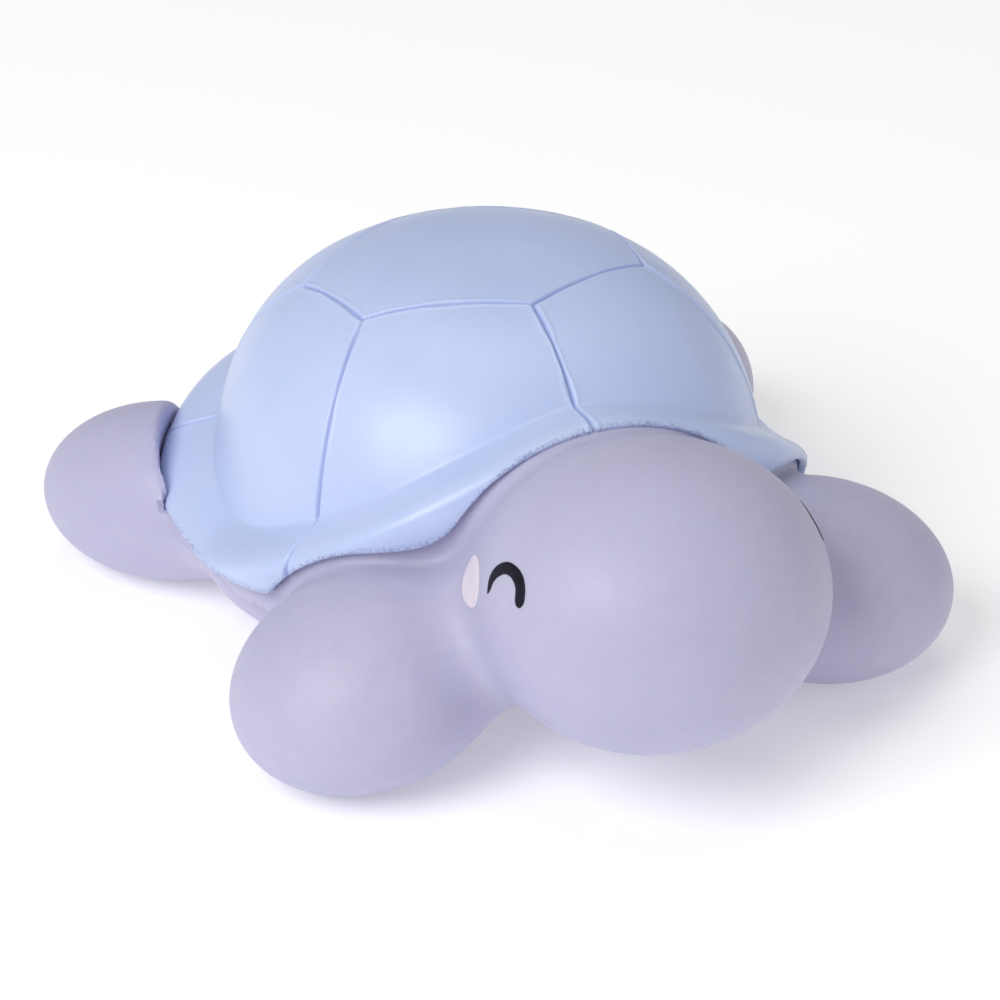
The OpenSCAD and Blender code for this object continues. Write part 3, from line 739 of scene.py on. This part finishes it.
# ---- Materials ----
def material(name):
    """An empty material with a shader: the material, its node tree and the shader."""
    m = bpy.data.materials.new(name)
    m.use_nodes = True
    tree = m.node_tree
    tree.nodes.clear()
    out = tree.nodes.new("ShaderNodeOutputMaterial")
    shader = tree.nodes.new("ShaderNodeBsdfPrincipled")
    tree.links.new(shader.outputs[0], out.inputs[0])
    return m, tree, shader


def node(tree, kind, values=None, **settings):
    n = tree.nodes.new(kind)
    for key, value in settings.items():
        setattr(n, key, value)
    for key, value in (values or {}).items():
        n.inputs[key].default_value = value
    return n


def noise(tree, scale, detail=3.0, roughness=0.55, distortion=0.0):
    place = node(tree, "ShaderNodeTexCoord")
    n = node(tree, "ShaderNodeTexNoise", {"Scale": scale, "Detail": detail, "Roughness": roughness,
                                          "Distortion": distortion})
    tree.links.new(place.outputs["Object"], n.inputs["Vector"])
    return n.outputs["Fac"]


def ranged(tree, value, low, high, to_low, to_high):
    n = node(tree, "ShaderNodeMapRange",
             {"From Min": low, "From Max": high, "To Min": to_low, "To Max": to_high})
    tree.links.new(value, n.inputs["Value"])
    return n.outputs["Result"]


def mixed_colour(tree, share, a, b):
    n = node(tree, "ShaderNodeMix", data_type="RGBA")
    tree.links.new(share, n.inputs["Factor"])
    for socket, colour in ((n.inputs[6], a), (n.inputs[7], b)):
        if isinstance(colour, (tuple, list)):
            socket.default_value = (*colour, 1)
        else:
            tree.links.new(colour, socket)
    return n.outputs[2]


def bumped(tree, height, distance, strength, before=None):
    n = node(tree, "ShaderNodeBump", {"Distance": distance, "Strength": strength})
    tree.links.new(height, n.inputs["Height"])
    if before is not None:
        tree.links.new(before, n.inputs["Normal"])
    return n.outputs["Normal"]


def scatter(shader, weight, radius):
    """Light spread under the surface, with its radius in metres for red, green and blue."""
    shader.inputs["Subsurface Weight"].default_value = weight
    shader.inputs["Subsurface Radius"].default_value = radius
    shader.inputs["Subsurface Scale"].default_value = 1.0


def srgb(*levels):
    return tuple(((v / 255 + 0.055) / 1.055) ** 2.4 if v > 10 else v / 255 / 12.92 for v in levels)


LILAC, LILAC_LIGHT, LILAC_MOTTLE = srgb(185, 183, 211), srgb(192, 189, 214), srgb(181, 179, 209)
BLUE, BLUE_LIGHT = srgb(188, 203, 242), srgb(196, 208, 245)
# The groove colour is painted shade for the recessed grooves
BLUE_GROOVE_SHADE, BLUE_WORN = srgb(138, 154, 204), srgb(120, 122, 168)
NEAR_BLACK, NEAR_BLACK_LIGHT = srgb(14, 14, 27), srgb(24, 23, 39)
PALE_PINK, PALE_PINK_LIGHT = srgb(226, 216, 228), srgb(234, 225, 234)
IVORY, IVORY_LIGHT = srgb(232, 231, 225), srgb(242, 241, 236)
AMBER, AMBER_LIGHT = srgb(214, 200, 150), srgb(226, 213, 168)


def body_material():
    m, tree, shader = material("lilac_vinyl")
    tone = mixed_colour(tree, ranged(tree, noise(tree, 38, 3, 0.5, 0.6), 0.35, 0.65, 0, 1),
                        LILAC, LILAC_LIGHT)
    mottle = mixed_colour(tree, ranged(tree, noise(tree, 420, 4, 0.6), 0.3, 0.7, 0, 0.5), tone, LILAC_MOTTLE)
    tree.links.new(mottle, shader.inputs["Base Color"])
    tree.links.new(ranged(tree, noise(tree, 90, 4, 0.6), 0.3, 0.7, 0.42, 0.54), shader.inputs["Roughness"])
    coarse = bumped(tree, noise(tree, 260, 3, 0.5), 0.0006, 0.10)
    fine = bumped(tree, noise(tree, 2600, 2, 0.6), 0.00012, 0.25, coarse)
    tree.links.new(fine, shader.inputs["Normal"])
    scatter(shader, 0.25, (0.004, 0.003, 0.005))
    shader.inputs["IOR"].default_value = 1.45
    return m


def shell_material():
    m, tree, shader = material("blue_vinyl")
    tone = mixed_colour(tree, ranged(tree, noise(tree, 30, 3, 0.5, 0.8), 0.35, 0.65, 0, 1),
                        BLUE, BLUE_LIGHT)
    # The grooves are painted a darker blue: painted shade in the recesses
    groove = node(tree, "ShaderNodeAttribute", attribute_name="groove")
    groove_shaded = mixed_colour(tree, ranged(tree, groove.outputs["Fac"], 0.3, 1, 0, 0.5), tone, BLUE_GROOVE_SHADE)
    edge = node(tree, "ShaderNodeAttribute", attribute_name="edge")
    crumb = ranged(tree, noise(tree, 2400, 3, 0.7), 0.5, 0.6, 0, 1)
    part = node(tree, "ShaderNodeMath", operation="MULTIPLY")
    tree.links.new(crumb, part.inputs[0])
    tree.links.new(ranged(tree, edge.outputs["Fac"], 0.2, 1, 0, 0.55), part.inputs[1])
    worn = mixed_colour(tree, part.outputs[0], groove_shaded, BLUE_WORN)
    tree.links.new(worn, shader.inputs["Base Color"])
    tree.links.new(ranged(tree, noise(tree, 120, 4, 0.6), 0.3, 0.7, 0.30, 0.42), shader.inputs["Roughness"])
    coarse = bumped(tree, noise(tree, 180, 3, 0.5), 0.0008, 0.10)
    fine = bumped(tree, noise(tree, 3200, 2, 0.6), 0.0001, 0.22, coarse)
    rough = bumped(tree, part.outputs[0], 0.0003, 0.5, fine)
    tree.links.new(rough, shader.inputs["Normal"])
    scatter(shader, 0.12, (0.002, 0.0025, 0.004))
    shader.inputs["Coat Weight"].default_value = 0.15
    shader.inputs["Coat Roughness"].default_value = 0.3
    return m


def ink_material(name, low, high, rough):
    m, tree, shader = material(name)
    tone = mixed_colour(tree, ranged(tree, noise(tree, 900, 4, 0.6), 0.35, 0.65, 0, 1), low, high)
    tree.links.new(tone, shader.inputs["Base Color"])
    tree.links.new(ranged(tree, noise(tree, 500, 3, 0.6), 0.3, 0.7, rough - 0.06, rough + 0.06),
                   shader.inputs["Roughness"])
    tree.links.new(bumped(tree, noise(tree, 1800, 3, 0.6), 0.0001, 0.3), shader.inputs["Normal"])
    shader.inputs["Specular IOR Level"].default_value = 0.2
    return m


def plastic_material(name, low, high, rough, subsurface):
    m, tree, shader = material(name)
    tone = mixed_colour(tree, ranged(tree, noise(tree, 160, 4, 0.6, 0.4), 0.35, 0.65, 0, 1), low, high)
    tree.links.new(tone, shader.inputs["Base Color"])
    tree.links.new(ranged(tree, noise(tree, 300, 3, 0.6), 0.3, 0.7, rough - 0.07, rough + 0.07),
                   shader.inputs["Roughness"])
    tree.links.new(bumped(tree, noise(tree, 1400, 3, 0.6), 0.00015, 0.25), shader.inputs["Normal"])
    scatter(shader, subsurface, (0.001, 0.001, 0.0008))
    return m


body.data.materials.append(body_material())
shell.data.materials.append(shell_material())
eye_ink = ink_material("eye_ink", NEAR_BLACK, NEAR_BLACK_LIGHT, 0.45)
cheek_ink = ink_material("cheek_ink", PALE_PINK, PALE_PINK_LIGHT, 0.5)
for name, obj in pieces.items():
    obj.data.materials.append(eye_ink if name.startswith("eye") else cheek_ink)
squeaker = plastic_material("squeaker_plastic", IVORY, IVORY_LIGHT, 0.4, 0.15)
film = plastic_material("reed_film", AMBER, AMBER_LIGHT, 0.35, 0.1)
for name, m in (("squeaker_barrel", squeaker), ("squeaker_grille", squeaker), ("reed_seat", squeaker),
                ("reed_wedge", squeaker), ("reed", film)):
    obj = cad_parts[name]
    obj.data.materials.clear()
    obj.data.materials.append(m)

# ---- What each piece moves with and stands for ----
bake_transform(body)
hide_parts("body_casting")
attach(shell, "shell")
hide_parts("shell_casting")
for name, obj in pieces.items():
    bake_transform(obj)
    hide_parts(name)

# ---- Floor, light and world ----
REACH, FLOOR_LEVEL, FLOOR_GLOW, WORLD_GLOW = 3.0, 0.96, 0.24, 0.30
floor_mesh = bpy.data.meshes.new("floor")
floor_mesh.from_pydata([(-REACH, -REACH, 0), (REACH, -REACH, 0), (REACH, REACH, 0), (-REACH, REACH, 0)], [],
                       [(0, 1, 2, 3)])
floor = bpy.data.objects.new("floor", floor_mesh)
bpy.context.scene.collection.objects.link(floor)
floor_material, tree, shader = material("floor_paper")
shader.inputs["Base Color"].default_value = (FLOOR_LEVEL, FLOOR_LEVEL, FLOOR_LEVEL, 1)
shader.inputs["Emission Color"].default_value = (1, 1, 1, 1)
shader.inputs["Emission Strength"].default_value = FLOOR_GLOW
shader.inputs["Roughness"].default_value = 0.85
floor.data.materials.append(floor_material)


def area_light(name, place, aim, size, watts, colour=(1, 1, 1)):
    light = bpy.data.lights.new(name, "AREA")
    light.shape = "DISK"
    light.size = size
    light.energy = watts
    light.color = colour
    obj = bpy.data.objects.new(name, light)
    bpy.context.scene.collection.objects.link(obj)
    obj.location = place
    obj.rotation_euler = (Vector(aim) - Vector(place)).to_track_quat("-Z", "Y").to_euler()


area_light("key", (-0.75, -0.35, 0.75), (0, 0, 0.03), 0.75, 7.7)
area_light("top", (0.1, 0.2, 1.3), (0, 0, 0), 1.0, 3.0)
area_light("fill", (0.8, -0.7, 0.4), (0, 0, 0.03), 0.9, 1.3, (0.95, 0.97, 1))
world = bpy.data.worlds.new("world")
bpy.context.scene.world = world
world.use_nodes = True
world.node_tree.nodes["Background"].inputs["Color"].default_value = (1, 1, 1, 1)
world.node_tree.nodes["Background"].inputs["Strength"].default_value = WORLD_GLOW
bpy.context.scene.view_settings.view_transform = "Standard"
